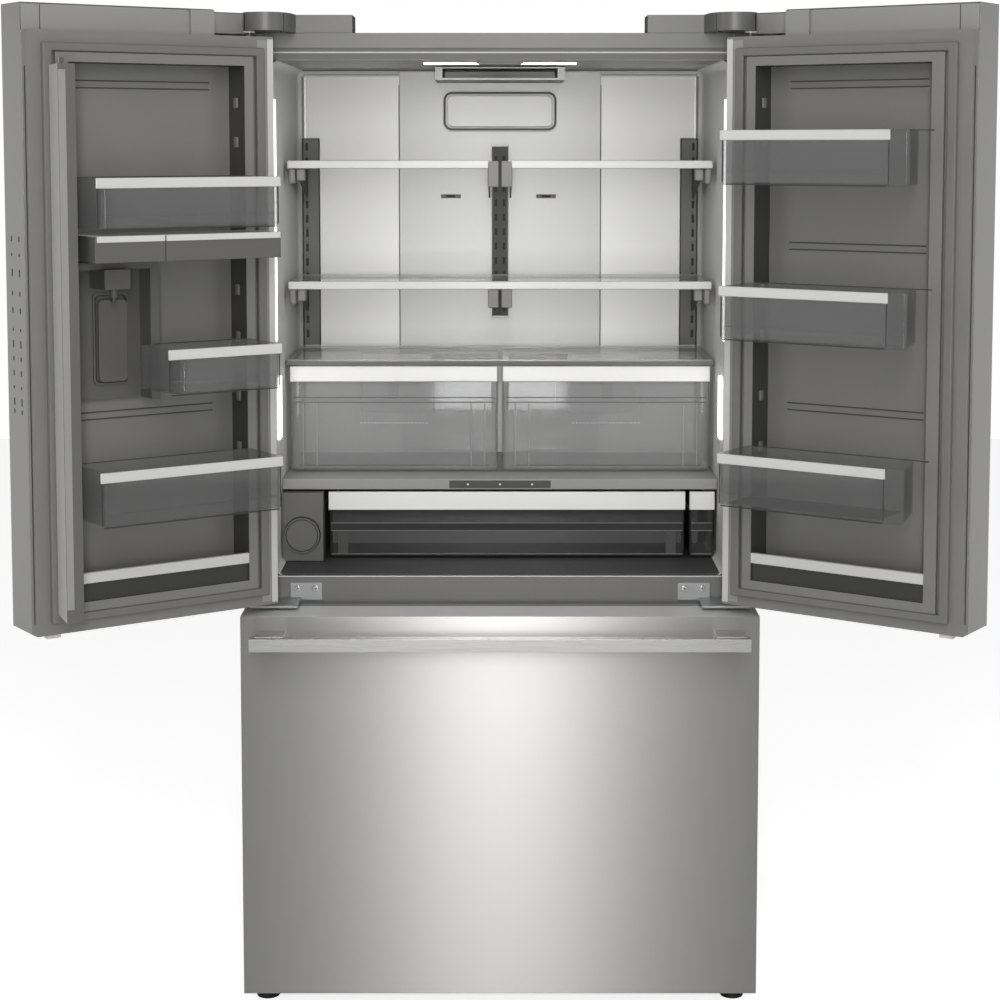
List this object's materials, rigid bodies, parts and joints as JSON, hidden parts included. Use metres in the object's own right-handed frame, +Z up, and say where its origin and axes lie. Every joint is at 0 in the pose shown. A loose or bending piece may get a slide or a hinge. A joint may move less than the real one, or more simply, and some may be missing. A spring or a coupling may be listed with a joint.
{
  "type": "french door refrigerator",
  "caption": "French door refrigerator: stainless doors standing open over shelves, crispers and door bins, with a pull-out freezer drawer below.",
  "frame": {"origin": "bottom centre of the overall box as stored, with both doors open, on the floor", "axes": "+X right seen from the front, +Y towards the back, +Z up"},
  "size_m": [1.6534, 1.0242, 1.771],
  "materials": {
    "stainless_skin": "brushed",
    "handle_steel": "satin",
    "case_paint": "satin",
    "galvanised": "satin",
    "interior_steel": "brushed",
    "freezer_plastic": "matte",
    "door_liner": "satin",
    "gasket": "matte",
    "clear_plastic": "gloss",
    "smoked_plastic": "gloss",
    "shelf_glass": "gloss",
    "dark_plastic": "satin",
    "mid_plastic": "satin",
    "black_plastic": "matte",
    "black_steel": "satin",
    "evaporator_aluminium": "satin"
  },
  "bodies": {
    "root": {"case_wrapper": "case_paint", "back_panel": "galvanised", "machine_compartment_cover": "galvanised", "base_plate": "galvanised", "middle_rail": "case_paint", "fresh_food_liner": "interior_steel", "freezer_liner": "freezer_plastic", "front_leg_left": "black_plastic", "front_leg_right": "black_plastic", "compressor": "black_steel", "condenser": "black_steel", "evaporator": "evaporator_aluminium", "upper_hinge_left": "case_paint", "upper_hinge_right": "case_paint", "lower_hinge_left": "galvanised", "lower_hinge_right": "galvanised", "air_duct_panel": "interior_steel", "flap_guide": "mid_plastic", "shelf_track_left": "dark_plastic", "shelf_track_right": "dark_plastic", "upper_left_shelf": "shelf_glass", "upper_right_shelf": "shelf_glass", "middle_shelf": "shelf_glass", "crisper_cover": "shelf_glass", "pantry_cover": "mid_plastic", "filter_housing": "mid_plastic"},
    "left_door": {"left_door_skin": "stainless_skin", "left_door_liner": "door_liner", "left_door_gasket": "gasket", "left_door_handle": "handle_steel", "left_door_top_bin": "clear_plastic", "left_door_small_bin": "clear_plastic", "left_door_low_bin": "clear_plastic", "door_compartment": "mid_plastic", "dispenser_housing": "mid_plastic"},
    "centre_flap": {"centre_flap": "door_liner"},
    "dispenser_paddle": {"dispenser_paddle": "dark_plastic"},
    "compartment_cover": {"compartment_cover": "mid_plastic"},
    "right_door": {"right_door_skin": "stainless_skin", "right_door_liner": "door_liner", "right_door_gasket": "gasket", "right_door_handle": "handle_steel", "right_door_top_bin": "clear_plastic", "right_door_middle_bin": "clear_plastic", "right_door_low_bin": "clear_plastic"},
    "freezer_drawer": {"freezer_drawer_skin": "stainless_skin", "freezer_drawer_liner": "door_liner", "freezer_drawer_gasket": "gasket", "freezer_handle": "handle_steel", "freezer_lower_basket": "freezer_plastic"},
    "freezer_upper_basket": {"freezer_upper_basket": "freezer_plastic"},
    "left_crisper": {"left_crisper": "clear_plastic"},
    "right_crisper": {"right_crisper": "clear_plastic"},
    "pantry_drawer": {"pantry_drawer": "smoked_plastic"},
    "small_drawer": {"small_drawer": "smoked_plastic"},
    "water_filter": {"water_filter": "mid_plastic"},
    "rear_roller_left": {"rear_roller_left": "black_plastic"},
    "rear_roller_right": {"rear_roller_right": "black_plastic"},
    "condenser_fan": {"condenser_fan": "mid_plastic"},
    "evaporator_fan": {"evaporator_fan": "mid_plastic"}
  },
  "joints": [
    {"name": "left_door_swing", "type": "hinge", "parent": "root", "child": "left_door", "pos_m": [-0.437, -0.15787, 1.23], "axis": [0, 0, -1], "range_deg": [-145.3, 0]},
    {"name": "right_door_swing", "type": "hinge", "parent": "root", "child": "right_door", "pos_m": [0.437, -0.15787, 1.23], "axis": [0, 0, 1], "range_deg": [-145.3, 0]},
    {"name": "centre_flap_fold", "type": "hinge", "parent": "left_door", "child": "centre_flap", "pos_m": [-0.72753, -0.43567, 1.218], "axis": [0, 0, 1], "range_deg": [-78, 0]},
    {"name": "dispenser_paddle_press", "type": "hinge", "parent": "left_door", "child": "dispenser_paddle", "pos_m": [-0.65117, -0.32989, 1.282], "axis": [0.8221, 0.5693, 0], "range_deg": [0, 2.5], "stiffness_Nm_per_rad": 2, "springref_deg": -1.15},
    {"name": "compartment_cover_lift", "type": "hinge", "parent": "left_door", "child": "compartment_cover", "pos_m": [-0.45793, -0.37708, 1.3943], "axis": [-0.8221, -0.5693, 0], "range_deg": [0, 85]},
    {"name": "freezer_drawer_slide", "type": "slide", "parent": "root", "child": "freezer_drawer", "axis": [0, -1, 0], "range_m": [0, 0.45]},
    {"name": "freezer_upper_basket_slide", "type": "slide", "parent": "freezer_drawer", "child": "freezer_upper_basket", "axis": [0, 1, 0], "range_m": [0, 0.1]},
    {"name": "left_crisper_slide", "type": "slide", "parent": "root", "child": "left_crisper", "axis": [0, -1, 0], "range_m": [0, 0.24]},
    {"name": "right_crisper_slide", "type": "slide", "parent": "root", "child": "right_crisper", "axis": [0, -1, 0], "range_m": [0, 0.24]},
    {"name": "pantry_drawer_slide", "type": "slide", "parent": "root", "child": "pantry_drawer", "axis": [0, -1, 0], "range_m": [0, 0.24]},
    {"name": "small_drawer_slide", "type": "slide", "parent": "root", "child": "small_drawer", "axis": [0, -1, 0], "range_m": [0, 0.15]},
    {"name": "water_filter_slide", "type": "slide", "parent": "root", "child": "water_filter", "axis": [0, -1, 0], "range_m": [0, 0.15]},
    {"name": "rear_roller_left_spin", "type": "hinge", "parent": "root", "child": "rear_roller_left", "pos_m": [-0.4, 0.45213, 0.021], "axis": [1, 0, 0], "continuous": true},
    {"name": "rear_roller_right_spin", "type": "hinge", "parent": "root", "child": "rear_roller_right", "pos_m": [0.4, 0.45213, 0.021], "axis": [1, 0, 0], "continuous": true},
    {"name": "condenser_fan_spin", "type": "hinge", "parent": "root", "child": "condenser_fan", "pos_m": [-0.06, 0.40613, 0.135], "axis": [0, 1, 0], "continuous": true},
    {"name": "evaporator_fan_spin", "type": "hinge", "parent": "root", "child": "evaporator_fan", "pos_m": [0.26, 0.44613, 0.5], "axis": [0, 1, 0], "continuous": true}
  ],
  "couplings": [
    {"joint": "centre_flap_fold", "follows": "left_door_swing", "ratio": 0.5368}
  ]
}
